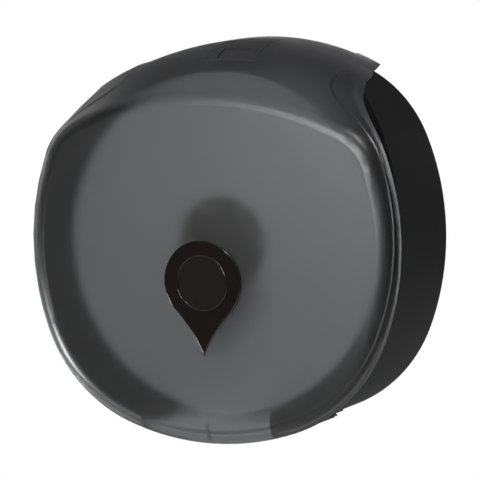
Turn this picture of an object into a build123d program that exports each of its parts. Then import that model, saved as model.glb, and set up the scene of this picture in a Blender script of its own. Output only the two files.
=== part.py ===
from build123d import *
from math import atan2, cos, degrees, pi, radians, sin, sqrt, tan
import os

# A wall-mounted dispenser for one jumbo roll of toilet paper: a deep tray on the wall, a roll on a
# spindle, and a translucent cover that swings down on two pins at the bottom.
# Millimetres. +Z is up, the wall is the plane Y = 0, the front faces -Y and +X is to the right as
# seen from the front. The origin is the centre of the back face.

# ---------------------------------------------------------------- cover: outline and depth
COVER_HALF_WIDTH = 166.0
COVER_TOP = 166.3
COVER_BOTTOM = 166.3
LONG_ARC_RADIUS = 222.0        # the side, top and bottom arcs of the rounded-square outline
CORNER_ARC_RADIUS = 114.8
LOW_CORNER_RADIUS = 128.0
COVER_DEPTH = 135.5
COVER_WALL = 3.0
FRONT_DOME_RADIUS = 3200.0
FRONT_DOME_HEIGHT = 50.0       # the dome's highest point lies this far above the centre
SHOULDER_RADIUS = 15.0

# the cover's roof: nearly level at the wall, an arc, then a ramp down to the front
ROOF_LEVEL_LENGTH = 35.0
ROOF_LEVEL_ANGLE = 3.0
ROOF_ARC_RADIUS = 110.0
ROOF_RAMP_ANGLE = 30.0
ROOF_ARC_STEPS = 9
ROOF_FLATTENING = 68.0         # the top arc's radius grows by this from the wall to the ramp
ROOF_CORNER_TIGHTENING = 55.0  # and the top corners' radius shrinks by this

# the cover's free edge, seen from the side: a wing along the top, a bend, then down the side
WING_EDGE_HEIGHT = 143.5       # at the wall
WING_EDGE_ANGLE = 10.0
EDGE_BEND_RADIUS = 62.0
SIDE_EDGE_DEPTH = 116.0        # at mid height
SIDE_EDGE_LEAN = 1.5
RIM_WIDTH = 9.0
RIM_PROUD = 1.0
WALL_CLEARANCE = 1.0           # between the wing's back edge and the wall

# ---------------------------------------------------------------- tray
TRAY_INSET = 7.0               # from the cover's outline, at the wall
TRAY_RIM_INSET = 4.5           # from the cover's outline, where the tray is deepest
TRAY_DEPTH = 126.0
TRAY_WALL = 3.0
TRAY_LAP = 4.0                 # how far the tray's edge reaches in under the cover's edge
TRAY_TOP_LIP = 14.0            # depth of the low wall left along the top
TRAY_GAP = 0.8                 # between the tray and the cover's inner face
BACK_RIB_HEIGHT = 2.5
BACK_RIB_WIDTH = 2.0
BACK_RIB_COUNT = 12
BACK_RIB_RING_RADIUS = 118.0
BACK_POCKET_DEPTH = 1.0
BACK_POCKET_WIDTH = 60.0
BACK_POCKET_HEIGHT = 26.0
BACK_POCKET_OFFSET = 118.0

WALL_HOLE_RADIUS = 2.75
WALL_HOLE_SPACING_X = 160.0
WALL_HOLE_SPACING_Z = 170.0
WALL_PAD_RADIUS = 9.0
WALL_PAD_HEIGHT = 2.5

# ---------------------------------------------------------------- outlet and hinge
OUTLET_HALF_WIDTH = 62.0       # to the inner faces of the cheeks
OUTLET_BACK = 15.0             # depth at which the outlet begins, from the wall
OUTLET_SHELF_TOP = -147.0      # top of the low wall behind the outlet
CHEEK_THICKNESS = 3.0
CHEEK_TOP = -137.0
CHEEK_FRONT = 124.0
CHEEK_FLANGE_IN = 6.5
CHEEK_FLANGE_OUT = 7.0
CHEEK_FLANGE_THICKNESS = 2.4

HINGE_DEPTH = 103.0
HINGE_HEIGHT = -145.5
HINGE_PIN_RADIUS = 2.0
HINGE_PIN_CLEARANCE = 0.08
HINGE_KNUCKLE_RADIUS = 5.5
HINGE_BOSS_LENGTH = 6.0
HINGE_ARM_THICKNESS = 5.0
HINGE_ARM_GAP = 0.6

STRIP_FLANGE_WIDTH = 9.0
STRIP_THICKNESS = 1.5
STRIP_FRONT = 101.0
STRIP_BACK = 11.0
STRIP_REACH = 5.0              # the teeth stand this far below the tray's floor
TOOTH_PITCH = 3.0
TOOTH_DEPTH = 1.6
STRIP_SCREW_RADIUS = 1.25
STRIP_SCREW_HEAD_RADIUS = 2.3
STRIP_SCREW_HEAD_HEIGHT = 1.3
STRIP_SCREW_COUNT = 3
STRIP_SCREW_MARGIN = 10.0
STRIP_SCREW_OFFSET = 5.5       # from the outlet's side to the line of screws

# ---------------------------------------------------------------- spindle, hub and roll
SPINDLE_HEIGHT = -3.0          # Z of the spindle's axis
SPINDLE_RADIUS = 17.0
SPINDLE_WALL = 3.0
SPINDLE_FLANGE_RADIUS = 36.0
SPINDLE_FLANGE_THICKNESS = 3.0
SPINDLE_SCREW_CIRCLE = 27.5
SPINDLE_SCREW_COUNT = 3
SPINDLE_SCREW_RADIUS = 2.0
SPINDLE_SCREW_HEAD_RADIUS = 3.9
SPINDLE_SCREW_LENGTH = 6.0
SPINDLE_BOSS_HEIGHT = 2.0

WASHER_RADIUS = 22.5
WASHER_THICKNESS = 1.6
RUNNING_CLEARANCE = 0.08
END_PLAY = 0.6

SLEEVE_WALL = 2.5
SLEEVE_FLANGE_RADIUS = 44.0
SLEEVE_FLANGE_THICKNESS = 1.6
SLEEVE_FIN_COUNT = 6
SLEEVE_FIN_THICKNESS = 2.0
SLEEVE_FIN_SHORTFALL = 3.0     # the fins stop this far behind the core's front end
CORE_FIT = 0.1

CORE_BORE_RADIUS = 38.0
CORE_WALL = 2.0
ROLL_RADIUS = 140.0
ROLL_WIDTH = 88.0
PAPER_STEP = 0.8               # the outer wrap's end stands this far proud

CAP_RADIUS = 25.0
CAP_THICKNESS = 6.0
CAP_EDGE_ROUND = 1.5
CAP_SPIGOT_LENGTH = 6.0
CAP_DISH_RADIUS = 9.0
CAP_DISH_DEPTH = 2.5
CAP_SCREW_RADIUS = 2.0
CAP_SCREW_HEAD_RADIUS = 4.0
CAP_SCREW_HEAD_HEIGHT = 2.2
CAP_SCREW_LENGTH = 14.0

# ---------------------------------------------------------------- badge
BADGE_CENTRE_HEIGHT = -31.8
BADGE_HEAD_RADIUS = 34.5
BADGE_TIP_HEIGHT = -92.2
BADGE_FLARE_ANGLE = 45.0       # where the round head runs into the hollow sides
BADGE_HEAD_PROUD = 3.8         # in front of the dome's highest point
BADGE_TIP_PROUD = -2.4
BADGE_EDGE_ROUND = 1.0
INSET_RADIUS = 22.7
INSET_DEPTH = 1.4
INSET_DISC_THICKNESS = 1.0
INSET_DISC_CLEARANCE = 0.25
BADGE_PEG_RADIUS = 2.0
BADGE_PEG_LENGTH = 4.5         # behind the cover's wall
BADGE_PEG_UPPER = -20.0
BADGE_PEG_LOWER = -66.0
PEG_HOLE_CLEARANCE = 0.1
PUSH_NUT_RADIUS = 5.0
PUSH_NUT_THICKNESS = 0.8

# ---------------------------------------------------------------- lock
PANEL_WIDTH = 45.0
PANEL_FRONT = 86.0
PANEL_BACK = 25.0
PANEL_THICKNESS = 1.5
PANEL_BED = 0.1                # under the panel
PANEL_GROOVE = 0.45            # around the panel
FIELD_WIDTH = 24.0
FIELD_LENGTH = 17.0
FIELD_DEPTH = 0.8

LOCK_DEPTH = 39.0
LOCK_PAD_RADIUS = 12.5
LOCK_PAD_FACE = 158.5          # Z of the flat under the cover's roof that the nut pulls on
SLEEVE_RADIUS = 7.5
LOCK_SLEEVE_END = 154.6
LOCK_FIT = 0.05
BARREL_RADIUS = 5.4
BARREL_RECESS = 0.3
KEY_SLOT_WIDTH = 5.0
KEY_SLOT_THICKNESS = 1.6
KEY_SLOT_DEPTH = 6.0
LOCK_NUT_FLATS = 20.0
LOCK_NUT_THICKNESS = 3.2
CAM_THICKNESS = 2.0
CAM_WIDTH = 8.0
CAM_REACH = 20.0
CAM_GAP = 0.3
CAM_SCREW_RADIUS = 1.5
CAM_SCREW_HEAD_RADIUS = 3.0
CAM_SCREW_HEAD_HEIGHT = 1.8
CAM_SCREW_LENGTH = 7.0

KEEPER_THICKNESS = 2.5
KEEPER_NEAR = 8.0              # X of the keeper's near and far sides
KEEPER_FAR = 26.0
KEEPER_SHELF_DROP = 4.8        # the shelf lies this far under the cam
KEEPER_LIP_GAP = 3.0           # from the turned cam to the lip
KEEPER_FOOT_WIDTH = 34.0
KEEPER_FOOT_HEIGHT = 9.0
KEEPER_SCREW_RADIUS = 1.6
KEEPER_SCREW_HEAD_RADIUS = 3.2
KEEPER_SCREW_HEAD_HEIGHT = 1.8
KEEPER_SCREW_SPACING = 20.0
KEEPER_SCREW_TIP = 0.8         # from the wall

RIB_THICKNESS = 2.0            # the small rib in the middle of the cover's lower lip
RIB_HEIGHT = 2.0
RIB_TOP = -149.0

FAR = 400.0                    # longer than anything here


# ---------------------------------------------------------------- helpers
def rod_x(radius, x_from, x_to, y, z):
    """A round bar along X."""
    middle = Pos((x_from + x_to) / 2, y, z)
    return middle * Rot(0, 90, 0) * Cylinder(radius, abs(x_to - x_from))


def rod_y(radius, y_from, y_to, x=0.0, z=SPINDLE_HEIGHT):
    """A round bar along Y, by default on the spindle's axis."""
    middle = Pos(x, (y_from + y_to) / 2, z)
    return middle * Rot(90, 0, 0) * Cylinder(radius, abs(y_to - y_from))


def rod_z(radius, z_from, z_to, x=0.0, y=-LOCK_DEPTH):
    """A round bar along Z, by default on the lock's axis."""
    middle = Pos(x, y, (z_from + z_to) / 2)
    return middle * Cylinder(radius, abs(z_to - z_from))


def block(x, y, z):
    """A box from three (low, high) pairs."""
    centre = Pos((x[0] + x[1]) / 2, (y[0] + y[1]) / 2, (z[0] + z[1]) / 2)
    return centre * Box(abs(x[1] - x[0]), abs(y[1] - y[0]), abs(z[1] - z[0]))


def countersunk(radius, head_radius, length, y_face, x, z):
    """A countersunk screw that points to +Y, its head flush with the plane Y = y_face."""
    head = head_radius - radius
    cone = Pos(x, y_face + head / 2, z) * Rot(90, 0, 0) * Cone(radius, head_radius, head)
    return cone + rod_y(radius, y_face + head, y_face + length, x, z)


# ---------------------------------------------------------------- the rounded-square outline
def roof_height(depth, inset):
    """Height of the cover's roof over the centre line, at a depth in front of the wall."""
    level, ramp = radians(ROOF_LEVEL_ANGLE), radians(ROOF_RAMP_ANGLE)
    arc_start = COVER_TOP - ROOF_LEVEL_LENGTH * tan(level)
    centre_depth = ROOF_LEVEL_LENGTH - ROOF_ARC_RADIUS * sin(level)
    centre_height = arc_start - ROOF_ARC_RADIUS * cos(level)
    radius = ROOF_ARC_RADIUS - inset
    level_end = centre_depth + radius * sin(level)
    ramp_start = centre_depth + radius * sin(ramp)
    if depth <= level_end:
        return centre_height + radius * cos(level) + (level_end - depth) * tan(level)
    if depth <= ramp_start:
        return centre_height + sqrt(radius**2 - (depth - centre_depth) ** 2)
    return centre_height + radius * cos(ramp) - (depth - ramp_start) * tan(ramp)


def roof_share(depth):
    """0 where the roof is level, 1 on the ramp."""
    level, ramp = sin(radians(ROOF_LEVEL_ANGLE)), sin(radians(ROOF_RAMP_ANGLE))
    along = level + (depth - ROOF_LEVEL_LENGTH) / ROOF_ARC_RADIUS
    return min(1.0, max(0.0, (along - level) / (ramp - level)))


def corner_centre(half_width, height, side_radius, top_radius, corner_radius):
    """Centre of the corner arc that touches the side arc and the top arc from inside."""
    side = Vector(half_width - side_radius, 0)
    top = Vector(0, height - top_radius)
    apart = (top - side).length
    to_side, to_top = side_radius - corner_radius, top_radius - corner_radius
    along = (to_side**2 - to_top**2 + apart**2) / (2 * apart)
    across = sqrt(to_side**2 - along**2)
    direction = (top - side) / apart
    return side + direction * along + Vector(-direction.Y, direction.X) * across


def outline(depth, half_width, top, bottom, side_radius, top_radius, top_corner, low_corner):
    """A closed rounded square of eight tangent arcs in the plane Y = -depth."""
    upper = corner_centre(half_width, top, side_radius, top_radius, top_corner)
    lower = corner_centre(half_width, bottom, side_radius, side_radius, low_corner)
    side_x = half_width - side_radius
    top_z = top - top_radius
    low_z = side_radius - bottom
    side_up = atan2(upper.Y, upper.X - side_x)
    side_down = -atan2(lower.Y, lower.X - side_x)
    crown = atan2(upper.Y - top_z, upper.X)
    keel = -atan2(lower.Y + low_z, lower.X)

    def arc(x, z, radius, start, end):
        def at(angle):
            return (x + radius * cos(angle), -depth, z + radius * sin(angle))
        return ThreePointArc(at(start), at((start + end) / 2), at(end))

    edges = [
        arc(side_x, 0, side_radius, side_down, side_up),
        arc(upper.X, upper.Y, top_corner, side_up, crown),
        arc(0, top_z, top_radius, crown, pi - crown),
        arc(-upper.X, upper.Y, top_corner, pi - crown, pi - side_up),
        arc(-side_x, 0, side_radius, pi - side_up, pi - side_down),
        arc(-lower.X, -lower.Y, low_corner, pi - side_down, pi - keel),
        arc(0, low_z, side_radius, pi - keel, 2 * pi + keel),
        arc(lower.X, -lower.Y, low_corner, keel, side_down),
    ]
    return Face(Wire(edges))


def plain_outline(depth, inset):
    """The outline of the closed back, drawn in by an inset."""
    long_arc, corner = LONG_ARC_RADIUS - inset, CORNER_ARC_RADIUS - inset
    return outline(depth, COVER_HALF_WIDTH - inset, COVER_TOP - inset,
                   COVER_BOTTOM - inset, long_arc, long_arc, corner, LOW_CORNER_RADIUS - inset)


def roofed_outline(depth, inset):
    """The cover's outline at a depth, where its top follows the roof."""
    share = roof_share(depth)
    long_arc, corner = LONG_ARC_RADIUS - inset, CORNER_ARC_RADIUS - inset
    return outline(depth, COVER_HALF_WIDTH - inset, roof_height(depth, inset),
                   COVER_BOTTOM - inset, long_arc, long_arc + share * ROOF_FLATTENING,
                   corner - share * ROOF_CORNER_TIGHTENING, LOW_CORNER_RADIUS - inset)


def cover_form(inset):
    """The closed form of the cover, drawn in by an inset: roof, dome and rounded shoulder."""
    ramp_depth = ROOF_LEVEL_LENGTH + ROOF_ARC_RADIUS * (
        sin(radians(ROOF_RAMP_ANGLE)) - sin(radians(ROOF_LEVEL_ANGLE)))
    step = (ramp_depth - ROOF_LEVEL_LENGTH) / ROOF_ARC_STEPS
    depths = [ROOF_LEVEL_LENGTH + step * i for i in range(ROOF_ARC_STEPS + 1)]
    depths = [0.0, *depths, COVER_DEPTH + SHOULDER_RADIUS]
    body = loft([roofed_outline(depth, inset) for depth in depths], ruled=True)
    dome_radius = FRONT_DOME_RADIUS - inset
    dome_centre = FRONT_DOME_RADIUS - COVER_DEPTH
    body = body & (Pos(0, dome_centre, FRONT_DOME_HEIGHT) * Sphere(dome_radius))
    front = body.faces().sort_by(Axis.Y)[0]
    return fillet(front.edges(), SHOULDER_RADIUS - inset)


def ahead_of_edge(offset):
    """Everything on the cover's side of its free edge, the edge moved outward by an offset."""
    slope, lean = tan(radians(WING_EDGE_ANGLE)), tan(radians(SIDE_EDGE_LEAN))
    wing_at_wall = WING_EDGE_HEIGHT + offset / cos(radians(WING_EDGE_ANGLE))
    side_at_middle = -SIDE_EDGE_DEPTH - offset / cos(radians(SIDE_EDGE_LEAN))
    bend_y = (side_at_middle + lean * wing_at_wall) / (1 - lean * slope)
    bend_z = wing_at_wall + slope * bend_y
    wing_back = (FAR, wing_at_wall + slope * FAR)
    side_foot = (side_at_middle - lean * FAR, -FAR)
    bend = (bend_y, bend_z)
    edge = FilletPolyline(wing_back, bend, side_foot, radius=EDGE_BEND_RADIUS + offset)
    closing = Polyline(side_foot, (-2 * FAR, -FAR), (-2 * FAR, FAR), (FAR, FAR), wing_back)
    region = Plane.YZ * make_face(Wire([*edge.edges(), *closing.edges()]))
    return extrude(region, FAR, both=True)


# ---------------------------------------------------------------- cover
def hinge_arm(side, form):
    """One arm of the cover, from its lower shoulder back to the hinge pin."""
    outer = OUTLET_HALF_WIDTH - HINGE_ARM_GAP
    inner = outer - HINGE_ARM_THICKNESS
    low, high = sorted((side * inner, side * outer))
    knuckle = rod_x(HINGE_KNUCKLE_RADIUS, low, high, -HINGE_DEPTH, HINGE_HEIGHT)
    profile = Plane.YZ * make_face(Polyline(
        (-HINGE_DEPTH, HINGE_HEIGHT + HINGE_KNUCKLE_RADIUS),
        (-COVER_DEPTH, HINGE_HEIGHT + HINGE_KNUCKLE_RADIUS),
        (-COVER_DEPTH, -COVER_BOTTOM),
        (-SIDE_EDGE_DEPTH - TRAY_LAP, -COVER_BOTTOM + HINGE_KNUCKLE_RADIUS),
        (-HINGE_DEPTH, HINGE_HEIGHT - HINGE_KNUCKLE_RADIUS),
        close=True))
    web = Pos(low, 0, 0) * extrude(profile, high - low)
    pin = HINGE_PIN_RADIUS + HINGE_PIN_CLEARANCE
    return (knuckle + (web & form)) - rod_x(pin, -FAR, FAR, -HINGE_DEPTH, HINGE_HEIGHT)


def badge_peg(radius, height, reach):
    """A peg or its hole through the front wall, reaching behind the wall."""
    return rod_y(radius, -badge_face_depth(height), -COVER_DEPTH + COVER_WALL + reach, 0, height)


def panel_block(grow, front=PANEL_FRONT, width=PANEL_WIDTH, length=PANEL_FRONT - PANEL_BACK):
    """The upright block that cuts the lock panel out of the roof."""
    half = width / 2 + grow
    return block((-half, half), (-front - grow, -front + length + grow), (0, FAR))


def front_cover(outside, inside, proud, pocket_floor):
    """The translucent cover: a thin shell with a rim bead, a panel pocket, a lock pad and arms."""
    ahead = ahead_of_edge(0)
    rim = (proud & ahead) - ahead_of_edge(RIM_WIDTH)
    cover = ((outside & ahead) + rim) - inside
    rib_zone = block((-RIB_THICKNESS / 2, RIB_THICKNESS / 2), (-FAR, -SIDE_EDGE_DEPTH - TRAY_LAP),
                     (-FAR, RIB_TOP))
    cover = cover + ((inside & rib_zone) - cover_form(COVER_WALL + RIB_HEIGHT))
    cover = cover + (rod_z(LOCK_PAD_RADIUS, LOCK_PAD_FACE, COVER_TOP) & outside)
    for side in (-1, 1):
        cover = cover + hinge_arm(side, outside)
    cover = cover - block((-FAR, FAR), (-WALL_CLEARANCE, FAR), (-FAR, FAR))
    cover = cover - (panel_block(PANEL_GROOVE) - pocket_floor)
    cover = cover - rod_z(SLEEVE_RADIUS + LOCK_FIT, 0, FAR)
    for height in (BADGE_PEG_UPPER, BADGE_PEG_LOWER):
        cover = cover - badge_peg(BADGE_PEG_RADIUS + PEG_HOLE_CLEARANCE, height, BADGE_PEG_LENGTH)
    return cover


def lock_panel(outside, underside, field_floor):
    """The plate that lies in the roof's pocket, with a shallow field at its front."""
    plate = (outside & panel_block(0)) - underside
    plate = plate - (panel_block(0, PANEL_FRONT, FIELD_WIDTH, FIELD_LENGTH) - field_floor)
    return plate - rod_z(SLEEVE_RADIUS + LOCK_FIT, 0, FAR)


# ---------------------------------------------------------------- badge
def badge_face_depth(height, recess=0.0):
    """Depth of the badge's sloping front face at a height."""
    top = BADGE_CENTRE_HEIGHT + BADGE_HEAD_RADIUS
    share = (top - height) / (top - BADGE_TIP_HEIGHT)
    return COVER_DEPTH + BADGE_HEAD_PROUD - share * (BADGE_HEAD_PROUD - BADGE_TIP_PROUD) - recess


def badge_slope_block(recess):
    """Everything in front of the badge's sloping face, the face moved back by a recess."""
    high, low = FAR, -FAR
    face = Plane.YZ * make_face(Polyline(
        (-badge_face_depth(high, recess), high), (-2 * FAR, high), (-2 * FAR, low),
        (-badge_face_depth(low, recess), low), close=True))
    return extrude(face, FAR, both=True)


def drop_badge(outside):
    """The glossy drop on the cover's front: a round head, hollow sides and a sharp tip."""
    flare = radians(BADGE_FLARE_ANGLE)
    side_x, side_drop = BADGE_HEAD_RADIUS * cos(flare), BADGE_HEAD_RADIUS * sin(flare)
    start, end = (side_x, -side_drop), (-side_x, -side_drop)
    tip = (0, BADGE_TIP_HEIGHT - BADGE_CENTRE_HEIGHT)
    head = ThreePointArc(start, (0, BADGE_HEAD_RADIUS), end)
    right = TangentArc(start, tip, tangent=(-sin(flare), -cos(flare)))
    left = TangentArc(end, tip, tangent=(sin(flare), -cos(flare)))
    base = Vector(0, SHOULDER_RADIUS - COVER_DEPTH, BADGE_CENTRE_HEIGHT)
    plane = Plane(base, x_dir=(1, 0, 0), z_dir=(0, -1, 0))
    drop = extrude(plane * make_face(Wire([head, left, right])), 2 * SHOULDER_RADIUS)
    drop = drop - badge_slope_block(0)
    face = drop.faces().sort_by(Axis.Y)[0]
    drop = chamfer(face.edges(), BADGE_EDGE_ROUND, BADGE_EDGE_ROUND * 0.8) - outside
    for height in (BADGE_PEG_UPPER, BADGE_PEG_LOWER):
        peg = badge_peg(BADGE_PEG_RADIUS, height, BADGE_PEG_LENGTH)
        drop = drop + (peg - badge_slope_block(INSET_DEPTH / 2))
    recess = rod_y(INSET_RADIUS, -FAR, 0, 0, BADGE_CENTRE_HEIGHT) & badge_slope_block(INSET_DEPTH)
    return drop - recess


def badge_disc():
    """The bare round disc that lies in the badge's recess."""
    radius = INSET_RADIUS - INSET_DISC_CLEARANCE
    blank = rod_y(radius, -FAR, 0, 0, BADGE_CENTRE_HEIGHT) & badge_slope_block(INSET_DEPTH)
    blank = blank - badge_slope_block(INSET_DEPTH - INSET_DISC_THICKNESS)
    front = blank.faces().sort_by(Axis.Y)[0]
    return fillet(front.edges(), INSET_DISC_THICKNESS / 2)


def badge_push_nuts():
    """Two spring washers pushed onto the badge's pegs behind the cover's wall."""
    back = -COVER_DEPTH + COVER_WALL
    nuts = []
    for height in (BADGE_PEG_UPPER, BADGE_PEG_LOWER):
        dome = FRONT_DOME_RADIUS - COVER_WALL
        fall = dome - sqrt(dome**2 - (abs(height - FRONT_DOME_HEIGHT) + PUSH_NUT_RADIUS) ** 2)
        face = back + fall
        ring = rod_y(PUSH_NUT_RADIUS, face, face + PUSH_NUT_THICKNESS, 0, height)
        nuts.append(ring - rod_y(BADGE_PEG_RADIUS, -FAR, 0, 0, height))
    return nuts


# ---------------------------------------------------------------- tray
def tray_form(inset, back):
    """The tray's flared block, drawn in by an inset, from a depth to its front."""
    ends = [plain_outline(depth, floor_inset(depth) + inset) for depth in (back, TRAY_DEPTH)]
    return loft(ends, ruled=True)


def wall_hole_places():
    """Centres of the four wall screws, as (x, z)."""
    return [(x * WALL_HOLE_SPACING_X / 2, z * WALL_HOLE_SPACING_Z / 2)
            for x in (-1, 1) for z in (-1, 1)]


def back_ribs(hollow):
    """Low ribs inside the back: a ring and spokes."""
    top, root = -TRAY_WALL - BACK_RIB_HEIGHT, -TRAY_WALL
    ring = rod_y(BACK_RIB_RING_RADIUS + BACK_RIB_WIDTH, top, root) - rod_y(
        BACK_RIB_RING_RADIUS, top, root)
    spoke = block((SPINDLE_FLANGE_RADIUS, FAR), (top, root), (-BACK_RIB_WIDTH / 2, BACK_RIB_WIDTH / 2))
    ribs = ring
    for i in range(BACK_RIB_COUNT):
        turned = Rot(0, (i + 0.5) * 360 / BACK_RIB_COUNT, 0) * spoke
        ribs = ribs + Pos(0, 0, SPINDLE_HEIGHT) * turned
    return ribs & hollow


def outlet_cheek(side, form):
    """One side of the paper outlet, with a flange on top and a boss for the hinge pin."""
    inner, outer = OUTLET_HALF_WIDTH, OUTLET_HALF_WIDTH + CHEEK_THICKNESS
    depth = (-CHEEK_FRONT, -TRAY_WALL)

    def sided(low, high):
        return tuple(sorted((side * low, side * high)))

    web = block(sided(inner, outer), depth, (-FAR, CHEEK_TOP)) & form
    flange = block(sided(inner - CHEEK_FLANGE_IN, outer + CHEEK_FLANGE_OUT),
                   (-CHEEK_FRONT, -OUTLET_BACK), (CHEEK_TOP - CHEEK_FLANGE_THICKNESS, CHEEK_TOP))
    boss_from, boss_to = sided(inner, outer + HINGE_BOSS_LENGTH)
    boss = rod_x(HINGE_KNUCKLE_RADIUS, boss_from, boss_to, -HINGE_DEPTH, HINGE_HEIGHT)
    return web + (flange & form) + (boss & form)


def floor_inset(depth):
    """The tray's inset from the cover's outline at a depth."""
    return TRAY_INSET + (TRAY_RIM_INSET - TRAY_INSET) * depth / TRAY_DEPTH


def floor_height(x, depth):
    """Height of the underside of the tray's floor, off the centre line at a depth."""
    radius = LONG_ARC_RADIUS - floor_inset(depth)
    return LONG_ARC_RADIUS - COVER_BOTTOM - sqrt(radius**2 - x**2)


def strip_screw_depths():
    """Depths of the screws along one tear strip."""
    first, last = STRIP_BACK + STRIP_SCREW_MARGIN, STRIP_FRONT - STRIP_SCREW_MARGIN
    step = (last - first) / (STRIP_SCREW_COUNT - 1)
    return [first + step * i for i in range(STRIP_SCREW_COUNT)]


def strip_screw(side, depth, reach):
    """One screw up into the tray's floor: its shank and its head, as two round bars."""
    x = side * (OUTLET_HALF_WIDTH + STRIP_SCREW_OFFSET)
    seat = floor_height(OUTLET_HALF_WIDTH + STRIP_SCREW_OFFSET - STRIP_SCREW_HEAD_RADIUS, depth)
    seat = seat - STRIP_THICKNESS
    shank = rod_z(STRIP_SCREW_RADIUS, seat, seat + reach, x, -depth)
    head = rod_z(STRIP_SCREW_HEAD_RADIUS, seat - STRIP_SCREW_HEAD_HEIGHT, seat, x, -depth)
    return shank, head


def base_tray():
    """The deep casing on the wall, open at the front and under the roll."""
    form = tray_form(0, 0)
    hollow = tray_form(TRAY_WALL, TRAY_WALL)
    tray = form - hollow
    tray = tray + back_ribs(hollow)
    tray = tray + (rod_y(SPINDLE_FLANGE_RADIUS + BACK_RIB_WIDTH, -TRAY_WALL - SPINDLE_BOSS_HEIGHT, -TRAY_WALL)
                   - rod_y(SPINDLE_FLANGE_RADIUS, -TRAY_WALL - SPINDLE_BOSS_HEIGHT, -TRAY_WALL))
    for x, z in wall_hole_places():
        tray = tray + rod_y(WALL_PAD_RADIUS, -TRAY_WALL - WALL_PAD_HEIGHT, -TRAY_WALL, x, z)
        tray = tray - rod_y(WALL_HOLE_RADIUS, -FAR, FAR, x, z)
    for side in (-1, 1):
        pocket_x = side * BACK_POCKET_OFFSET
        tray = tray - block((pocket_x - BACK_POCKET_HEIGHT / 2, pocket_x + BACK_POCKET_HEIGHT / 2),
                            (-BACK_POCKET_DEPTH, FAR), (-BACK_POCKET_WIDTH / 2, BACK_POCKET_WIDTH / 2))
    tray = tray - block((-OUTLET_HALF_WIDTH, OUTLET_HALF_WIDTH), (-FAR, -OUTLET_BACK), (-FAR, -TRAY_DEPTH))
    for side in (-1, 1):
        tray = tray + outlet_cheek(side, form)
    shelf = block((-OUTLET_HALF_WIDTH, OUTLET_HALF_WIDTH), (-OUTLET_BACK, -OUTLET_BACK + TRAY_WALL),
                  (-FAR, OUTLET_SHELF_TOP))
    tray = tray + (shelf & form)
    above = ahead_of_edge(TRAY_LAP) & block((-FAR, FAR), (-FAR, -TRAY_TOP_LIP), (-FAR, FAR))
    tray = (tray - above) & cover_form(COVER_WALL + TRAY_GAP)
    pin_end = OUTLET_HALF_WIDTH + CHEEK_THICKNESS + HINGE_BOSS_LENGTH
    tray = tray - rod_x(HINGE_PIN_RADIUS, -pin_end, pin_end, -HINGE_DEPTH, HINGE_HEIGHT)
    for side in (-1, 1):
        for depth in strip_screw_depths():
            tray = tray - strip_screw(side, depth, STRIP_THICKNESS + TRAY_WALL)[0]
    for angle in spindle_screw_angles():
        x, z = spindle_screw_place(angle)
        tray = tray - rod_y(SPINDLE_SCREW_RADIUS, -FAR, -TRAY_WALL + spindle_screw_bite(), x, z)
    for x in (-1, 1):
        tray = tray - rod_y(KEEPER_SCREW_RADIUS, -TRAY_WALL - BACK_RIB_HEIGHT, -KEEPER_SCREW_TIP,
                            keeper_screw_x(x), keeper_screw_height())
    return tray


def tear_strip(side):
    """An angle strip under the tray's floor, its lip serrated along the outlet's side."""
    depths = (-STRIP_FRONT, -STRIP_BACK)
    inner, outer = side * OUTLET_HALF_WIDTH, side * (OUTLET_HALF_WIDTH + STRIP_FLANGE_WIDTH)
    zone = block((inner, outer), depths, (-FAR, 0))
    flange = (tray_form(-STRIP_THICKNESS, 0) & zone) - tray_form(0, 0)
    count = int((STRIP_FRONT - STRIP_BACK) / TOOTH_PITCH)
    pitch = (STRIP_FRONT - STRIP_BACK) / count
    points = [(-STRIP_BACK, SPINDLE_HEIGHT)]
    for i in range(count + 1):
        depth = STRIP_BACK + pitch * i
        root = floor_height(OUTLET_HALF_WIDTH, depth) - STRIP_REACH + TOOTH_DEPTH
        points.append((-depth, root))
        if i < count:
            points.append((-depth - pitch / 2, root - TOOTH_DEPTH))
    points.append((-STRIP_FRONT, SPINDLE_HEIGHT))
    profile = Plane.YZ * make_face(Polyline(*points, close=True))
    lip = Pos(min(inner, inner + side * STRIP_THICKNESS), 0, 0) * extrude(profile, STRIP_THICKNESS)
    strip = flange + (lip - tray_form(0, 0))
    for depth in strip_screw_depths():
        strip = strip - strip_screw(side, depth, STRIP_THICKNESS * 2)[0]
        strip = strip - strip_screw(side, depth, STRIP_THICKNESS)[1]
    return strip


def tear_strip_screws():
    """Pan-head screws up through the tear strips into the tray's floor."""
    screws = []
    for side in (-1, 1):
        for depth in strip_screw_depths():
            shank, head = strip_screw(side, depth, STRIP_THICKNESS + TRAY_WALL)
            screws.append(shank + head)
    return screws


def hinge_pins():
    """Two plain pins, held in the cheeks' bosses and running in the cover's arms."""
    inner = OUTLET_HALF_WIDTH - HINGE_ARM_GAP - HINGE_ARM_THICKNESS - HINGE_ARM_GAP
    outer = OUTLET_HALF_WIDTH + CHEEK_THICKNESS + HINGE_BOSS_LENGTH
    return [rod_x(HINGE_PIN_RADIUS, *sorted((side * inner, side * outer)), -HINGE_DEPTH, HINGE_HEIGHT)
            for side in (-1, 1)]


# ---------------------------------------------------------------- spindle, hub and roll
FLANGE_FACE = -TRAY_WALL - SPINDLE_FLANGE_THICKNESS
WASHER_FACE = FLANGE_FACE - WASHER_THICKNESS
SLEEVE_BACK = WASHER_FACE - END_PLAY / 2
ROLL_BACK = SLEEVE_BACK - SLEEVE_FLANGE_THICKNESS
ROLL_FRONT = ROLL_BACK - ROLL_WIDTH
SLEEVE_FRONT = ROLL_FRONT + END_PLAY
SPINDLE_END = SLEEVE_FRONT - END_PLAY


def spindle_screw_angles():
    return [90 + i * 360 / SPINDLE_SCREW_COUNT for i in range(SPINDLE_SCREW_COUNT)]


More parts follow.
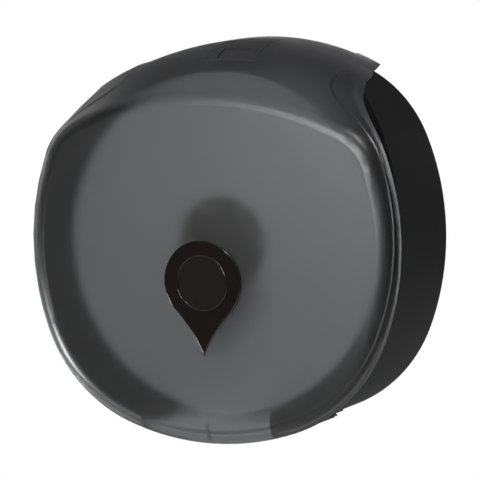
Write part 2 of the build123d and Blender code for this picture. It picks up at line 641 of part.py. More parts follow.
def spindle_screw_place(angle):
    return (SPINDLE_SCREW_CIRCLE * cos(radians(angle)),
            SPINDLE_HEIGHT + SPINDLE_SCREW_CIRCLE * sin(radians(angle)))


def spindle_screw_bite():
    """How far the spindle's screws go into the tray's back."""
    return SPINDLE_SCREW_LENGTH - SPINDLE_FLANGE_THICKNESS - TRAY_WALL / 3


def spindle():
    """A hollow post on a round flange, closed at its front end for the cap's screw."""
    post = rod_y(SPINDLE_RADIUS, FLANGE_FACE, SPINDLE_END)
    post = post + rod_y(SPINDLE_FLANGE_RADIUS, -TRAY_WALL, FLANGE_FACE)
    bore = SPINDLE_RADIUS - SPINDLE_WALL
    cap_floor = SPINDLE_END + CAP_SPIGOT_LENGTH + SPINDLE_WALL
    post = post - rod_y(bore, -TRAY_WALL, cap_floor)
    post = post - rod_y(bore, SPINDLE_END, SPINDLE_END + CAP_SPIGOT_LENGTH)
    post = post - rod_y(CAP_SCREW_RADIUS, SPINDLE_END, cap_floor)
    for angle in spindle_screw_angles():
        x, z = spindle_screw_place(angle)
        post = post - countersunk(SPINDLE_SCREW_RADIUS, SPINDLE_SCREW_HEAD_RADIUS,
                                  SPINDLE_SCREW_LENGTH, FLANGE_FACE, x, z)
    return post


def spindle_screws():
    """Countersunk screws that hold the spindle's flange to the tray."""
    length = SPINDLE_FLANGE_THICKNESS + spindle_screw_bite()
    return [countersunk(SPINDLE_SCREW_RADIUS, SPINDLE_SCREW_HEAD_RADIUS, length, FLANGE_FACE,
                        *spindle_screw_place(angle)) for angle in spindle_screw_angles()]


def thrust_washer():
    """A slippery ring between the spindle's flange and the turning sleeve."""
    bore = SPINDLE_RADIUS + RUNNING_CLEARANCE
    return rod_y(WASHER_RADIUS, FLANGE_FACE, WASHER_FACE) - rod_y(bore, FLANGE_FACE, WASHER_FACE)


def hub_sleeve():
    """The turning sleeve: a tube on the spindle, fins that fill the core, a flange behind it."""
    bore = SPINDLE_RADIUS + RUNNING_CLEARANCE
    tube = rod_y(bore + SLEEVE_WALL, SLEEVE_BACK, SLEEVE_FRONT)
    flange = rod_y(SLEEVE_FLANGE_RADIUS, SLEEVE_BACK, ROLL_BACK)
    fin_tip = CORE_BORE_RADIUS - CORE_FIT
    fin = block((bore, fin_tip), (ROLL_FRONT + SLEEVE_FIN_SHORTFALL, ROLL_BACK),
                (-SLEEVE_FIN_THICKNESS / 2, SLEEVE_FIN_THICKNESS / 2))
    sleeve = tube + flange
    for i in range(SLEEVE_FIN_COUNT):
        sleeve = sleeve + Pos(0, 0, SPINDLE_HEIGHT) * (Rot(0, i * 360 / SLEEVE_FIN_COUNT, 0) * fin)
    return sleeve - rod_y(bore, -FAR, 0)


def roll_core():
    """The cardboard tube in the middle of the roll."""
    outer = CORE_BORE_RADIUS + CORE_WALL
    return rod_y(outer, ROLL_BACK, ROLL_FRONT) - rod_y(CORE_BORE_RADIUS, ROLL_BACK, ROLL_FRONT)


def paper_roll():
    """The wound paper. Its outer wrap ends in a small step at the bottom."""
    low_radius = ROLL_RADIUS - PAPER_STEP / 2
    right = ThreePointArc((0, -ROLL_RADIUS), (ROLL_RADIUS, 0), (0, ROLL_RADIUS))
    left = ThreePointArc((0, ROLL_RADIUS), (-low_radius, PAPER_STEP / 2), (0, PAPER_STEP - ROLL_RADIUS))
    step = Line((0, PAPER_STEP - ROLL_RADIUS), (0, -ROLL_RADIUS))
    plane = Plane((0, ROLL_BACK, SPINDLE_HEIGHT), x_dir=(1, 0, 0), z_dir=(0, -1, 0))
    roll = extrude(plane * make_face(Wire([right, left, step])), ROLL_WIDTH)
    return roll - rod_y(CORE_BORE_RADIUS + CORE_WALL, ROLL_BACK, ROLL_FRONT)


def hub_cap():
    """The round cap on the spindle's end, with a spigot in the post and a dish for its screw."""
    face = SPINDLE_END - CAP_THICKNESS
    disc = rod_y(CAP_RADIUS, face, SPINDLE_END)
    disc = fillet(disc.edges().group_by(Axis.Y)[0], CAP_EDGE_ROUND)
    spigot = rod_y(SPINDLE_RADIUS - SPINDLE_WALL - CORE_FIT, SPINDLE_END,
                   SPINDLE_END + CAP_SPIGOT_LENGTH - CORE_FIT)
    cap = disc + spigot
    cap = cap - rod_y(CAP_DISH_RADIUS, face, face + CAP_DISH_DEPTH)
    return cap - rod_y(CAP_SCREW_RADIUS, -FAR, 0)


def hub_cap_screw():
    """The screw that holds the cap to the post."""
    seat = SPINDLE_END - CAP_THICKNESS + CAP_DISH_DEPTH
    head = rod_y(CAP_SCREW_HEAD_RADIUS, seat - CAP_SCREW_HEAD_HEIGHT, seat)
    head = fillet(head.edges().group_by(Axis.Y)[0], CAP_SCREW_HEAD_HEIGHT / 3)
    return head + rod_y(CAP_SCREW_RADIUS, seat, seat + CAP_SCREW_LENGTH)


# ---------------------------------------------------------------- lock
CAM_TOP = LOCK_SLEEVE_END - CAM_GAP
CAM_BOTTOM = CAM_TOP - CAM_THICKNESS
KEEPER_SHELF_TOP = CAM_BOTTOM - KEEPER_SHELF_DROP
KEEPER_LIP_TOP = CAM_TOP - CAM_GAP
KEEPER_LIP_DEPTH = LOCK_DEPTH + CAM_WIDTH / 2 + KEEPER_LIP_GAP


def keeper_screw_x(side):
    return (KEEPER_NEAR + KEEPER_FAR) / 2 + side * KEEPER_SCREW_SPACING / 2


def keeper_screw_height():
    return KEEPER_SHELF_TOP - KEEPER_THICKNESS - KEEPER_FOOT_HEIGHT / 2


def lock_sleeve(underside):
    """The threaded tube that holds the lock in the cover's roof."""
    tube = rod_z(SLEEVE_RADIUS, LOCK_SLEEVE_END, FAR) & underside
    return tube - rod_z(BARREL_RADIUS + LOCK_FIT, 0, FAR)


def lock_nut():
    """The hexagon nut that pulls the sleeve against the pad under the roof."""
    hexagon = RegularPolygon(LOCK_NUT_FLATS / 2, 6, major_radius=False)
    nut = extrude(Plane((0, -LOCK_DEPTH, LOCK_PAD_FACE)) * hexagon, -LOCK_NUT_THICKNESS)
    return nut - rod_z(SLEEVE_RADIUS, 0, FAR)


def lock_barrel(face):
    """The turning barrel, with a key slot in its top and a seat for the cam."""
    barrel = rod_z(BARREL_RADIUS, CAM_TOP, FAR) & face
    top = roof_height(LOCK_DEPTH, BARREL_RECESS)
    slot = block((-KEY_SLOT_WIDTH / 2, KEY_SLOT_WIDTH / 2),
                 (-LOCK_DEPTH - KEY_SLOT_THICKNESS / 2, -LOCK_DEPTH + KEY_SLOT_THICKNESS / 2),
                 (top - KEY_SLOT_DEPTH, FAR))
    return barrel - slot - rod_z(CAM_SCREW_RADIUS, 0, CAM_BOTTOM + CAM_SCREW_LENGTH)


def lock_cam():
    """The flat arm under the barrel. At rest it points to the wall, which is unlocked."""
    arm = block((-CAM_WIDTH / 2, CAM_WIDTH / 2), (-LOCK_DEPTH, -LOCK_DEPTH + CAM_REACH - CAM_WIDTH / 2),
                (CAM_BOTTOM, CAM_TOP))
    arm = arm + rod_z(CAM_WIDTH / 2, CAM_BOTTOM, CAM_TOP)
    arm = arm + rod_z(CAM_WIDTH / 2, CAM_BOTTOM, CAM_TOP, 0, -LOCK_DEPTH + CAM_REACH - CAM_WIDTH / 2)
    return arm - rod_z(CAM_SCREW_RADIUS, 0, FAR)


def cam_screw():
    """The screw that holds the cam to the barrel."""
    head = rod_z(CAM_SCREW_HEAD_RADIUS, CAM_BOTTOM - CAM_SCREW_HEAD_HEIGHT, CAM_BOTTOM)
    return head + rod_z(CAM_SCREW_RADIUS, CAM_BOTTOM, CAM_BOTTOM + CAM_SCREW_LENGTH)


def lock_keeper():
    """The bracket on the tray's back that the turned cam catches behind."""
    across = (KEEPER_NEAR, KEEPER_FAR)
    middle = (KEEPER_NEAR + KEEPER_FAR) / 2
    shelf_bottom = KEEPER_SHELF_TOP - KEEPER_THICKNESS
    front = -KEEPER_LIP_DEPTH - KEEPER_THICKNESS
    shelf = block(across, (front, -TRAY_WALL), (shelf_bottom, KEEPER_SHELF_TOP))
    lip = block(across, (front, -KEEPER_LIP_DEPTH), (shelf_bottom, KEEPER_LIP_TOP))
    foot = block((middle - KEEPER_FOOT_WIDTH / 2, middle + KEEPER_FOOT_WIDTH / 2),
                 (-TRAY_WALL - KEEPER_THICKNESS, -TRAY_WALL),
                 (shelf_bottom - KEEPER_FOOT_HEIGHT, KEEPER_SHELF_TOP))
    keeper = shelf + lip + foot
    for side in (-1, 1):
        keeper = keeper - rod_y(KEEPER_SCREW_RADIUS, -FAR, 0, keeper_screw_x(side), keeper_screw_height())
    return keeper


def keeper_screws():
    """Two pan-head screws that hold the keeper to the tray's back."""
    seat = -TRAY_WALL - KEEPER_THICKNESS
    screws = []
    for side in (-1, 1):
        place = (keeper_screw_x(side), keeper_screw_height())
        head = rod_y(KEEPER_SCREW_HEAD_RADIUS, seat - KEEPER_SCREW_HEAD_HEIGHT, seat, *place)
        screws.append(head + rod_y(KEEPER_SCREW_RADIUS, seat, -KEEPER_SCREW_TIP, *place))
    return screws


# ---------------------------------------------------------------- write every node
def build():
    """All sub-parts by node name. Each is one solid or a list of separate solids."""
    outside = cover_form(0)
    return {
        "base_tray": base_tray(),
        "spindle": spindle(),
        "spindle_screws": spindle_screws(),
        "thrust_washer": thrust_washer(),
        "hub_sleeve": hub_sleeve(),
        "roll_core": roll_core(),
        "paper_roll": paper_roll(),
        "hub_cap": hub_cap(),
        "hub_cap_screw": hub_cap_screw(),
        "tear_strip_left": tear_strip(-1),
        "tear_strip_right": tear_strip(1),
        "tear_strip_screws": tear_strip_screws(),
        "hinge_pins": hinge_pins(),
        "front_cover": front_cover(outside, cover_form(COVER_WALL), cover_form(-RIM_PROUD),
                                   cover_form(PANEL_THICKNESS + PANEL_BED)),
        "drop_badge": drop_badge(outside),
        "badge_disc": badge_disc(),
        "badge_push_nuts": badge_push_nuts(),
        "lock_panel": lock_panel(outside, cover_form(PANEL_THICKNESS), cover_form(FIELD_DEPTH)),
        "lock_sleeve": lock_sleeve(outside),
        "lock_nut": lock_nut(),
        "lock_barrel": lock_barrel(cover_form(BARREL_RECESS)),
        "lock_cam": lock_cam(),
        "cam_screw": cam_screw(),
        "lock_keeper": lock_keeper(),
        "keeper_screws": keeper_screws(),
    }


os.makedirs("parts", exist_ok=True)
for node, shape in build().items():
    solids = shape if isinstance(shape, list) else [shape]
    export_step(Compound(children=[solid for piece in solids for solid in piece.solids()]),
                f"parts/{node}.step")
    print(node, round(sum(piece.volume for piece in solids)), "mm3")
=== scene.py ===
# %% [markdown]
# # A wall dispenser for a jumbo roll of toilet paper
#
# A deep black tray hangs on the wall. A roll the size of a dinner plate turns on a hub in it, and a
# smoked, see-through cover closes it. The cover swings down on two pins at the bottom, and a small
# lock in its roof keeps it shut. Paper comes out underneath, between two serrated strips.
#
# The shapes and the joints come from the CAD model. This file gives them their looks, adds what the
# CAD keeps plain, and lights and frames them.

# %%
# Open the frame that the CAD model gives
from math import atan2, cos, pi, radians, sin

import bpy
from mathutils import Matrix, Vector


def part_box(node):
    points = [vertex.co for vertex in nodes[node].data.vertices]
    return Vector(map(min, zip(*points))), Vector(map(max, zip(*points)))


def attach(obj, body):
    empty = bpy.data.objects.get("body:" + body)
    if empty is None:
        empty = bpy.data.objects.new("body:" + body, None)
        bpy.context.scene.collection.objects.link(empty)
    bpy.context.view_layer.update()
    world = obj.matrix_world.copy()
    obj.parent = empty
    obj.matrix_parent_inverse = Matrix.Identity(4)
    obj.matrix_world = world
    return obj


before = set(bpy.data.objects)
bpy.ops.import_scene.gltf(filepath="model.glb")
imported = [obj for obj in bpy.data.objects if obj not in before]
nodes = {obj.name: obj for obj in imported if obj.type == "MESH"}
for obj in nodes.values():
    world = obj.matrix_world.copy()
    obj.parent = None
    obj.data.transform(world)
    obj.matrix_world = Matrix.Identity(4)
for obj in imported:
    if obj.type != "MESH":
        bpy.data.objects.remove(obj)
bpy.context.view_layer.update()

# %% [markdown]
# ## Small tools for node materials
#
# Every finish below is made of nodes, so it has no seams and no picture to load. These helpers only
# save typing: one adds a node, one starts a material, one puts a material on pieces.

# %%
# Helpers for nodes, materials and pieces


def add(tree, kind, **settings):
    node = tree.nodes.new(kind)
    for name, value in settings.items():
        if hasattr(node, name):
            setattr(node, name, value)
        else:
            node.inputs[name].default_value = value
    return node


def start_material(name, colour, roughness, **values):
    """A material with a Principled shader. Plain values go straight on its sockets."""
    material = bpy.data.materials.new(name)
    material.use_nodes = True
    shader = material.node_tree.nodes["Principled BSDF"]
    shader.inputs["Base Color"].default_value = (*colour, 1.0)
    shader.inputs["Roughness"].default_value = roughness
    for socket, value in values.items():
        shader.inputs[socket.replace("_", " ")].default_value = value
    return material, material.node_tree, shader


def paint(material, *names):
    for name in names:
        mesh = nodes[name].data
        mesh.materials.clear()
        mesh.materials.append(material)
    print(material.name, "->", ", ".join(names))


def mesh_object(name, vertices, faces, body):
    """A smooth mesh object that rides on a CAD body."""
    mesh = bpy.data.meshes.new(name)
    mesh.from_pydata(vertices, [], faces)
    mesh.update()
    mesh.shade_smooth()
    made = bpy.data.objects.new(name, mesh)
    bpy.context.scene.collection.objects.link(made)
    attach(made, body)
    return made


# %% [markdown]
# ## Two effects that several finishes share
#
# Moulded plastic is never quite even. **Moulded grain** gives the fine pebbled skin of a textured
# mould as a normal, and a slow, faint change of gloss. **Fine scratches** gives metal its short
# brushed lines. Both are node groups, so a change here reaches every finish that uses them.

# %%
# Node groups: moulded grain and fine scratches


def new_group(name, inputs, outputs):
    group = bpy.data.node_groups.new(name, "ShaderNodeTree")
    for socket, default in inputs:
        made = group.interface.new_socket(socket, in_out="INPUT", socket_type="NodeSocketFloat")
        made.default_value = default
    for socket, kind in outputs:
        group.interface.new_socket(socket, in_out="OUTPUT", socket_type=kind)
    return group, group.nodes.new("NodeGroupInput"), group.nodes.new("NodeGroupOutput")


def moulded_grain():
    group, given, result = new_group(
        "Moulded grain",
        [("Grain Size", 900.0), ("Depth", 0.15), ("Gloss", 0.5), ("Gloss Change", 0.05)],
        [("Normal", "NodeSocketVector"), ("Roughness", "NodeSocketFloat")])
    links = group.links
    place = add(group, "ShaderNodeTexCoord")
    grain = add(group, "ShaderNodeTexNoise", Detail=3.0, Roughness=0.55)
    bump = add(group, "ShaderNodeBump", Distance=0.00015)
    slow = add(group, "ShaderNodeTexNoise", Scale=9.0, Detail=4.0, Roughness=0.6)
    spread = add(group, "ShaderNodeMath", operation="SUBTRACT")
    spread.inputs[1].default_value = 0.5
    change = add(group, "ShaderNodeMath", operation="MULTIPLY_ADD", use_clamp=True)
    links.new(place.outputs["Object"], grain.inputs["Vector"])
    links.new(given.outputs["Grain Size"], grain.inputs["Scale"])
    links.new(grain.outputs["Fac"], bump.inputs["Height"])
    links.new(given.outputs["Depth"], bump.inputs["Strength"])
    links.new(place.outputs["Object"], slow.inputs["Vector"])
    links.new(slow.outputs["Fac"], spread.inputs[0])
    links.new(spread.outputs[0], change.inputs[0])
    links.new(given.outputs["Gloss Change"], change.inputs[1])
    links.new(given.outputs["Gloss"], change.inputs[2])
    links.new(bump.outputs["Normal"], result.inputs["Normal"])
    links.new(change.outputs[0], result.inputs["Roughness"])
    return group


def fine_scratches():
    group, given, result = new_group(
        "Fine scratches",
        [("Line Size", 700.0), ("Depth", 0.1), ("Gloss", 0.3)],
        [("Normal", "NodeSocketVector"), ("Roughness", "NodeSocketFloat")])
    links = group.links
    place = add(group, "ShaderNodeTexCoord")
    stretch = add(group, "ShaderNodeMapping")
    stretch.inputs["Scale"].default_value = (1.0, 0.04, 1.0)
    lines = add(group, "ShaderNodeTexNoise", Detail=2.0)
    bump = add(group, "ShaderNodeBump", Distance=0.00005)
    change = add(group, "ShaderNodeMath", operation="MULTIPLY_ADD", use_clamp=True)
    change.inputs[1].default_value = 0.12
    links.new(place.outputs["Object"], stretch.inputs["Vector"])
    links.new(stretch.outputs[0], lines.inputs["Vector"])
    links.new(given.outputs["Line Size"], lines.inputs["Scale"])
    links.new(lines.outputs["Fac"], bump.inputs["Height"])
    links.new(given.outputs["Depth"], bump.inputs["Strength"])
    links.new(lines.outputs["Fac"], change.inputs[0])
    links.new(given.outputs["Gloss"], change.inputs[2])
    links.new(bump.outputs["Normal"], result.inputs["Normal"])
    links.new(change.outputs[0], result.inputs["Roughness"])
    return group


GRAIN = moulded_grain()
SCRATCHES = fine_scratches()


def use_group(tree, shader, group, **values):
    node = add(tree, "ShaderNodeGroup", node_tree=group)
    for socket, value in values.items():
        node.inputs[socket.replace("_", " ")].default_value = value
    tree.links.new(node.outputs["Normal"], shader.inputs["Normal"])
    tree.links.new(node.outputs["Roughness"], shader.inputs["Roughness"])
    return node


print("groups:", [group.name for group in bpy.data.node_groups])

# %% [markdown]
# ## The tray and the hub: moulded plastics
#
# The tray and the spindle are black with a fine moulded texture, which spreads reflections and hides
# fingerprints. Their colour is not quite black, so that their edges still show against dark insides.
# The hub's cap is blacker and a little glossier. The sleeve that turns and the washer under it are
# white.

# %%
# Tray, spindle, hub cap, sleeve and washer
tray_plastic, tree, shader = start_material("Black moulded plastic", (0.0065, 0.0065, 0.007), 0.55,
                                            Specular_IOR_Level=0.15)
use_group(tree, shader, GRAIN, Grain_Size=1100.0, Depth=0.35, Gloss=0.55, Gloss_Change=0.12)
paint(tray_plastic, "base_tray", "spindle")

hub_plastic, tree, shader = start_material("Black hub plastic", (0.004, 0.004, 0.0045), 0.42)
use_group(tree, shader, GRAIN, Grain_Size=1500.0, Depth=0.2, Gloss=0.42, Gloss_Change=0.1)
paint(hub_plastic, "hub_cap")

sleeve_plastic, tree, shader = start_material("White sleeve plastic", (0.66, 0.66, 0.65), 0.5)
use_group(tree, shader, GRAIN, Grain_Size=1500.0, Depth=0.1, Gloss=0.5, Gloss_Change=0.1)
paint(sleeve_plastic, "hub_sleeve")

washer_plastic, tree, shader = start_material("White washer plastic", (0.72, 0.72, 0.69), 0.45,
                                              Subsurface_Weight=0.1, Subsurface_Scale=0.001)
use_group(tree, shader, GRAIN, Grain_Size=1500.0, Depth=0.05, Gloss=0.45, Gloss_Change=0.05)
paint(washer_plastic, "thrust_washer")

# %% [markdown]
# ## The cover: smoked, see-through plastic
#
# A smoked sheet of acrylic or polycarbonate, with a satin face. The light goes through it twice: in to
# the roll and back out to the eye, so a tint that looks light in the hand looks dark here. The satin
# skin bends each ray a little, which is why the roll behind it has a soft edge while the cover's own
# rim stays sharp.
#
# The shader is a rough, tinted glass. For light on its way to a lamp it is a plain tinted filter
# instead, so that the roll is lit through it without noise.

# %%
# Smoked cover
COVER_TINT = (0.272, 0.275, 0.282)
COVER_FILTER = (0.445, 0.45, 0.458)
COVER_BLUR = 0.31

smoked, tree, shader = start_material("Smoked cover", COVER_TINT, COVER_BLUR, IOR=1.49,
                                      Specular_IOR_Level=0.15, Transmission_Weight=0.98)
use_group(tree, shader, GRAIN, Grain_Size=1300.0, Depth=0.06, Gloss=COVER_BLUR, Gloss_Change=0.06)
output = tree.nodes["Material Output"]
light_path = add(tree, "ShaderNodeLightPath")
clear = add(tree, "ShaderNodeBsdfTransparent")
clear.inputs["Color"].default_value = (*COVER_FILTER, 1.0)
choose = add(tree, "ShaderNodeMixShader")
tree.links.new(light_path.outputs["Is Shadow Ray"], choose.inputs[0])
tree.links.new(shader.outputs[0], choose.inputs[1])
tree.links.new(clear.outputs[0], choose.inputs[2])
tree.links.new(choose.outputs[0], output.inputs["Surface"])
paint(smoked, "front_cover")

# %% [markdown]
# ## The badge and the lock panel: gloss on satin
#
# The drop on the front is a separate gloss black moulding, and the bare disc in its head is another.
# The panel in the roof carries the lock. It is a thin plate in the same dark plastic.

# %%
# Badge, disc and panel
BADGE_COLOUR = (0.0105, 0.0085, 0.008)

badge_plastic, tree, shader = start_material("Gloss black badge", BADGE_COLOUR, 0.12,
                                             Specular_IOR_Level=0.5)
use_group(tree, shader, GRAIN, Grain_Size=250.0, Depth=0.02, Gloss=0.12, Gloss_Change=0.06)
paint(badge_plastic, "drop_badge")

disc_plastic, tree, shader = start_material("Gloss black disc", (0.0155, 0.0125, 0.0118), 0.16,
                                            Specular_IOR_Level=0.5)
use_group(tree, shader, GRAIN, Grain_Size=250.0, Depth=0.02, Gloss=0.16, Gloss_Change=0.06)
paint(disc_plastic, "badge_disc")

panel_plastic, tree, shader = start_material("Dark panel plastic", (0.035, 0.035, 0.037), 0.4)
use_group(tree, shader, GRAIN, Grain_Size=1300.0, Depth=0.1, Gloss=0.4, Gloss_Change=0.08)
paint(panel_plastic, "lock_panel")

# %% [markdown]
# ## Rounded edges of the badge
#
# A moulded part has no sharp edge. The drop's front edge and the seat of its disc get a fine round
# bead, and each bead catches a thin line of light where it faces a lamp.

# %%
# Beads along the drop's edge and round its disc
BADGE_LEAN = 0.0653            # the badge's face falls back by this much for each metre down
BADGE_TIP_HEIGHT = -0.0925
BADGE_FLARE = radians(45.0)    # where the round head runs into the hollow sides
BADGE_EDGE_ROUND = 0.0011
SEAT_BEAD = 0.0007
BEAD_SIDES = 12
SIDE_STEPS = 24                # along each hollow side, and twice as many round the head
SEAT_STEPS = 96

edge_plastic, tree, shader = start_material("Gloss black edge", BADGE_COLOUR, 0.06,
                                            Specular_IOR_Level=0.8)
drop_low, drop_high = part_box("drop_badge")
head_radius = (drop_high.x - drop_low.x) / 2
head_centre = drop_high.z - head_radius


def face_depth(z):
    """Y of the badge's leaning face at a height."""
    return drop_low.y + (drop_high.z - z) * BADGE_LEAN


def bead(name, path, radius, sink, material):
    """A closed round bead on the badge's face. The path gives x, z and the outward angle."""
    inward = Vector((0, 1, 0))
    vertices = []
    for x, z, angle in path:
        middle = Vector((x, face_depth(z) + sink, z))
        outward = Vector((cos(angle), 0.0, sin(angle)))
        for i in range(BEAD_SIDES):
            turn = 2 * pi * i / BEAD_SIDES
            vertices.append(middle + (outward * cos(turn) + inward * sin(turn)) * radius)
    faces = []
    for ring in range(len(path)):
        here = ring * BEAD_SIDES
        there = (ring + 1) % len(path) * BEAD_SIDES
        for i in range(BEAD_SIDES):
            j = (i + 1) % BEAD_SIDES
            faces.append((here + i, here + j, there + j, there + i))
    made = mesh_object(name, [tuple(v) for v in vertices], faces, "cover")
    made.data.materials.append(material)


def drop_path(inset, steps):
    """The drop's outline moved inward: the round head, then a hollow side to the tip and back."""
    outward = Vector((cos(BADGE_FLARE), -sin(BADGE_FLARE)))
    start = outward * head_radius
    tip = Vector((0.0, BADGE_TIP_HEIGHT - head_centre))
    across = tip - start
    hollow = across.length_squared / (2 * across.dot(outward))
    centre = start + outward * hollow
    first = atan2(start.y - centre.y, start.x - centre.x)
    last = atan2(tip.y - centre.y, tip.x - centre.x)
    last += 2 * pi if last < 0 else 0.0
    first += 2 * pi if first < 0 else 0.0
    right = []
    for i in range(steps + 1):
        angle = first + (last - first) * i / steps
        direction = Vector((cos(angle), sin(angle)))
        spot = centre + direction * (hollow + inset)
        right.append((max(spot.x, 0.0), spot.y, angle + pi))
    head = [(cos(a) * (head_radius - inset), sin(a) * (head_radius - inset), a)
            for a in [-BADGE_FLARE + (pi + 2 * BADGE_FLARE) * i / (2 * steps)
                      for i in range(2 * steps + 1)]]
    left = [(-x, z, pi - angle) for x, z, angle in right[1:]]
    whole = head + left + right[:0:-1]
    return [(x, z + head_centre, angle) for x, z, angle in whole]


seat_low, seat_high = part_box("badge_disc")
seat_radius = (seat_high.x - seat_low.x) / 2
seat_centre = (seat_high.z + seat_low.z) / 2
seat_path = [(cos(a) * seat_radius, sin(a) * seat_radius + seat_centre, a)
             for a in [2 * pi * i / SEAT_STEPS for i in range(SEAT_STEPS)]]
bead("badge_edge_bead", drop_path(BADGE_EDGE_ROUND, SIDE_STEPS), BADGE_EDGE_ROUND, BADGE_EDGE_ROUND,
     edge_plastic)
bead("badge_seat_bead", seat_path, SEAT_BEAD, SEAT_BEAD / 2, edge_plastic)
print("drop", round(head_radius * 1000, 1), "mm head, disc", round(seat_radius * 1000, 1), "mm")

# %% [markdown]
# ## Metal: screws, pins, the lock and the tear strips
#
# Screws, pins and the keeper are zinc-plated steel, dull and slightly brushed. The lock's tube and
# barrel have a darker plating. The tear strips are coated black.

# %%
# Metals
screw_steel, tree, shader = start_material("Zinc plated steel", (0.56, 0.56, 0.57), 0.3, Metallic=1.0)
use_group(tree, shader, SCRATCHES, Line_Size=900.0, Depth=0.15, Gloss=0.26)
paint(screw_steel, "spindle_screws", "hub_cap_screw", "tear_strip_screws", "hinge_pins",
      "keeper_screws", "badge_push_nuts", "lock_nut", "cam_screw", "lock_keeper", "lock_cam")

lock_metal, tree, shader = start_material("Dark plated metal", (0.07, 0.07, 0.074), 0.3, Metallic=1.0)
use_group(tree, shader, SCRATCHES, Line_Size=1200.0, Depth=0.1, Gloss=0.22)
paint(lock_metal, "lock_sleeve", "lock_barrel")

strip_coat, tree, shader = start_material("Black coated steel", (0.012, 0.012, 0.013), 0.38)
use_group(tree, shader, GRAIN, Grain_Size=1600.0, Depth=0.1, Gloss=0.38, Gloss_Change=0.1)
paint(strip_coat, "tear_strip_left", "tear_strip_right")

# %% [markdown]
# ## Paper and cardboard
#
# The roll is soft white tissue. Its flat sides show the edges of the layers as fine rings, which never
# run quite true. The core is plain grey-brown board.

# %%
# Paper and core
RING_SPACING = 0.0011          # metres between the rings on the roll's flat sides
RING_WOBBLE = 0.0012           # how far a ring strays from a true circle
core_low, core_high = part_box("roll_core")
ROLL_AXIS_HEIGHT = (core_low.z + core_high.z) / 2


def ring_height(tree, layer, wobble):
    """A value that rises and falls with the distance from the roll's axis."""
    place = add(tree, "ShaderNodeTexCoord")
    shift = add(tree, "ShaderNodeMapping")
    shift.inputs["Location"].default_value = (0.0, 0.0, -ROLL_AXIS_HEIGHT)
    split = add(tree, "ShaderNodeSeparateXYZ")
    flat = add(tree, "ShaderNodeCombineXYZ")
    length = add(tree, "ShaderNodeVectorMath", operation="LENGTH")
    noise = add(tree, "ShaderNodeTexNoise", Scale=14.0, Detail=3.0)
    bent = add(tree, "ShaderNodeMath", operation="MULTIPLY_ADD")
    bent.inputs[1].default_value = wobble
    turns = add(tree, "ShaderNodeMath", operation="MULTIPLY")
    turns.inputs[1].default_value = 2 * pi / layer
    wave = add(tree, "ShaderNodeMath", operation="SINE")
    tree.links.new(place.outputs["Object"], shift.inputs["Vector"])
    tree.links.new(shift.outputs[0], split.inputs[0])
    tree.links.new(split.outputs["X"], flat.inputs["X"])
    tree.links.new(split.outputs["Z"], flat.inputs["Z"])
    tree.links.new(flat.outputs[0], length.inputs[0])
    tree.links.new(place.outputs["Object"], noise.inputs["Vector"])
    tree.links.new(noise.outputs["Fac"], bent.inputs[0])
    tree.links.new(length.outputs["Value"], bent.inputs[2])
    tree.links.new(bent.outputs[0], turns.inputs[0])
    tree.links.new(turns.outputs[0], wave.inputs[0])
    return wave


paper, tree, shader = start_material("Wound tissue paper", (0.86, 0.86, 0.845), 0.9,
                                     Specular_IOR_Level=0.2)
rings = ring_height(tree, RING_SPACING, RING_WOBBLE)
fibres = add(tree, "ShaderNodeTexNoise", Scale=900.0, Detail=4.0)
coordinates = add(tree, "ShaderNodeTexCoord")
tree.links.new(coordinates.outputs["Object"], fibres.inputs["Vector"])
ring_bump = add(tree, "ShaderNodeBump", Strength=0.25, Distance=0.0003)
fibre_bump = add(tree, "ShaderNodeBump", Strength=0.3, Distance=0.0002)
tree.links.new(rings.outputs[0], ring_bump.inputs["Height"])
tree.links.new(fibres.outputs["Fac"], fibre_bump.inputs["Height"])
tree.links.new(ring_bump.outputs[0], fibre_bump.inputs["Normal"])
tree.links.new(fibre_bump.outputs[0], shader.inputs["Normal"])
shade = add(tree, "ShaderNodeMapRange")
shade.inputs["From Min"].default_value = -1.0
tint = add(tree, "ShaderNodeMix", data_type="RGBA")
tint.inputs["A"].default_value = (0.80, 0.80, 0.785, 1.0)
tint.inputs["B"].default_value = (0.88, 0.88, 0.865, 1.0)
tree.links.new(rings.outputs[0], shade.inputs["Value"])
tree.links.new(shade.outputs["Result"], tint.inputs["Factor"])
tree.links.new(tint.outputs["Result"], shader.inputs["Base Color"])
paint(paper, "paper_roll")

board, tree, shader = start_material("Grey cardboard", (0.42, 0.37, 0.30), 0.85,
                                     Specular_IOR_Level=0.2)
use_group(tree, shader, GRAIN, Grain_Size=600.0, Depth=0.4, Gloss=0.85, Gloss_Change=0.1)
paint(board, "roll_core")

# %% [markdown]
# ## Studio: a white background
#
# The background is white for the camera and for reflections. It shows through the cover at about half
# that, and the light that it sheds on the object is weaker still.

# %%
# World
THROUGH_COVER = 0.45           # the share of the white background that shows through the cover

world = bpy.data.worlds.new("White studio")
bpy.context.scene.world = world
world.use_nodes = True
tree = world.node_tree
background = tree.nodes["Background"]
seen = add(tree, "ShaderNodeBackground", Color=(1.0, 1.0, 1.0, 1.0), Strength=1.0)
background.inputs["Color"].default_value = (0.95, 0.97, 1.0, 1.0)
background.inputs["Strength"].default_value = 0.2
path = add(tree, "ShaderNodeLightPath")
either = add(tree, "ShaderNodeMath", operation="MAXIMUM")
dimmed = add(tree, "ShaderNodeMath", operation="MULTIPLY_ADD")
dimmed.inputs[1].default_value = THROUGH_COVER - 1.0
dimmed.inputs[2].default_value = 1.0
share = add(tree, "ShaderNodeMath", operation="MULTIPLY")
pick = add(tree, "ShaderNodeMixShader")
tree.links.new(path.outputs["Is Camera Ray"], either.inputs[0])
tree.links.new(path.outputs["Is Glossy Ray"], either.inputs[1])
tree.links.new(path.outputs["Is Transmission Ray"], dimmed.inputs[0])
tree.links.new(either.outputs[0], share.inputs[0])
tree.links.new(dimmed.outputs[0], share.inputs[1])
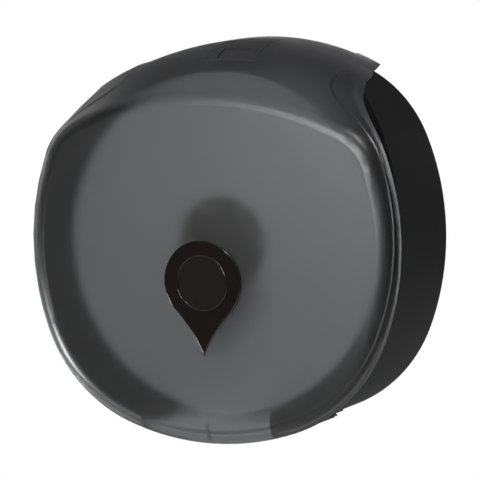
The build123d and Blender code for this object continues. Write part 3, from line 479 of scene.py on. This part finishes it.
tree.links.new(share.outputs[0], pick.inputs[0])
tree.links.new(background.outputs[0], pick.inputs[1])
tree.links.new(seen.outputs[0], pick.inputs[2])
tree.links.new(pick.outputs[0], tree.nodes["World Output"].inputs["Surface"])
print("background through the cover:", THROUGH_COVER)

# %% [markdown]
# ## Lamps
#
# One large soft lamp in front lights the whole object and is hidden from reflections. Two small lamps,
# one low at the left and one high at the right, draw the thin lines of light on the badge's beads.

# %%
# Lamps
AIM = Vector((0.0, -0.065, -0.0026))


def soft_lamp(name, place, size, power):
    light = bpy.data.lights.new(name, "AREA")
    light.shape = "SQUARE"
    light.size = size
    light.energy = power
    lamp = bpy.data.objects.new(name, light)
    lamp.location = place
    lamp.rotation_euler = (Vector(place) - AIM).to_track_quat("Z", "Y").to_euler()
    bpy.context.scene.collection.objects.link(lamp)
    return lamp


key = soft_lamp("Key lamp", (0.1, -2.4, 0.6), 1.4, 46.0)
key.visible_glossy = False
soft_lamp("Low left lamp", (-1.74, -0.76, -0.83), 0.32, 9.0)
soft_lamp("High right lamp", (0.9, -0.9, 1.6), 0.4, 8.0)
print("lamps:", [light.name for light in bpy.data.lights])

# %% [markdown]
# ## Cards
#
# Dark cards in front and at both sides keep the gloss of the black pieces deep. Grey ones overhead and
# high at the back give the roof something to reflect, and a pale one lies below. The camera sees none
# of them.

# %%
# Cards
DARK_CARD = (0.05, 0.05, 0.052)
GREY_CARD = (0.5, 0.5, 0.51)
PALE_CARD = (0.9, 0.9, 0.9)


def flat_card(name, centre, half_width, half_height, facing, colour):
    """A matte card of the studio, square to a direction."""
    turn = Vector(facing).to_track_quat("Z", "Y")
    corners = [turn @ Vector((x * half_width, y * half_height, 0.0)) + Vector(centre)
               for x, y in ((-1, -1), (1, -1), (1, 1), (-1, 1))]
    mesh = bpy.data.meshes.new(name)
    mesh.from_pydata([tuple(corner) for corner in corners], [], [(0, 1, 2, 3)])
    card = bpy.data.objects.new(name, mesh)
    material, _, _ = start_material(name, colour, 0.9, Specular_IOR_Level=0.1)
    mesh.materials.append(material)
    bpy.context.scene.collection.objects.link(card)
    card.visible_camera = False


flat_card("Front card", (-0.8, -3.4, 0.3), 3.6, 2.4, (0.0, 1.0, 0.0), DARK_CARD)
flat_card("Ceiling card", (0.0, 0.0, 2.4), 3.2, 3.2, (0.0, 0.0, -1.0), GREY_CARD)
flat_card("High back card", (0.0, 2.6, 1.6), 3.0, 1.0, (0.0, -1.0, 0.0), GREY_CARD)
flat_card("Left card", (-3.2, -1.4, 0.4), 2.2, 2.0, (1.0, 0.0, 0.0), DARK_CARD)
flat_card("Front right card", (3.2, -1.6, 0.4), 2.2, 2.0, (-1.0, 0.0, 0.0), DARK_CARD)
flat_card("Right card", (2.4, 1.6, 0.3), 2.2, 1.8, (-0.8, -0.6, 0.0), DARK_CARD)
flat_card("Floor card", (0.0, -0.6, -1.1), 3.0, 3.0, (0.0, 0.0, 1.0), PALE_CARD)

# %% [markdown]
# ## Camera
#
# The camera looks from the front, to the object's right and slightly from above, through a long lens.

# %%
# Camera
CAMERA_AZIMUTH = radians(25.6)
CAMERA_ELEVATION = radians(5.04)
CAMERA_DISTANCE = 2.304
CAMERA_LENS = 207.0

away = Vector((sin(CAMERA_AZIMUTH) * cos(CAMERA_ELEVATION),
               -cos(CAMERA_AZIMUTH) * cos(CAMERA_ELEVATION),
               sin(CAMERA_ELEVATION)))
camera_data = bpy.data.cameras.new("Camera")
camera_data.lens = CAMERA_LENS
camera_data.sensor_width = 36.0
camera = bpy.data.objects.new("Camera", camera_data)
camera.location = AIM + away * CAMERA_DISTANCE
camera.rotation_euler = away.to_track_quat("Z", "Y").to_euler()
bpy.context.scene.collection.objects.link(camera)
bpy.context.scene.camera = camera
bpy.context.scene.view_settings.view_transform = "Standard"
print("camera at", [round(v, 4) for v in camera.location])
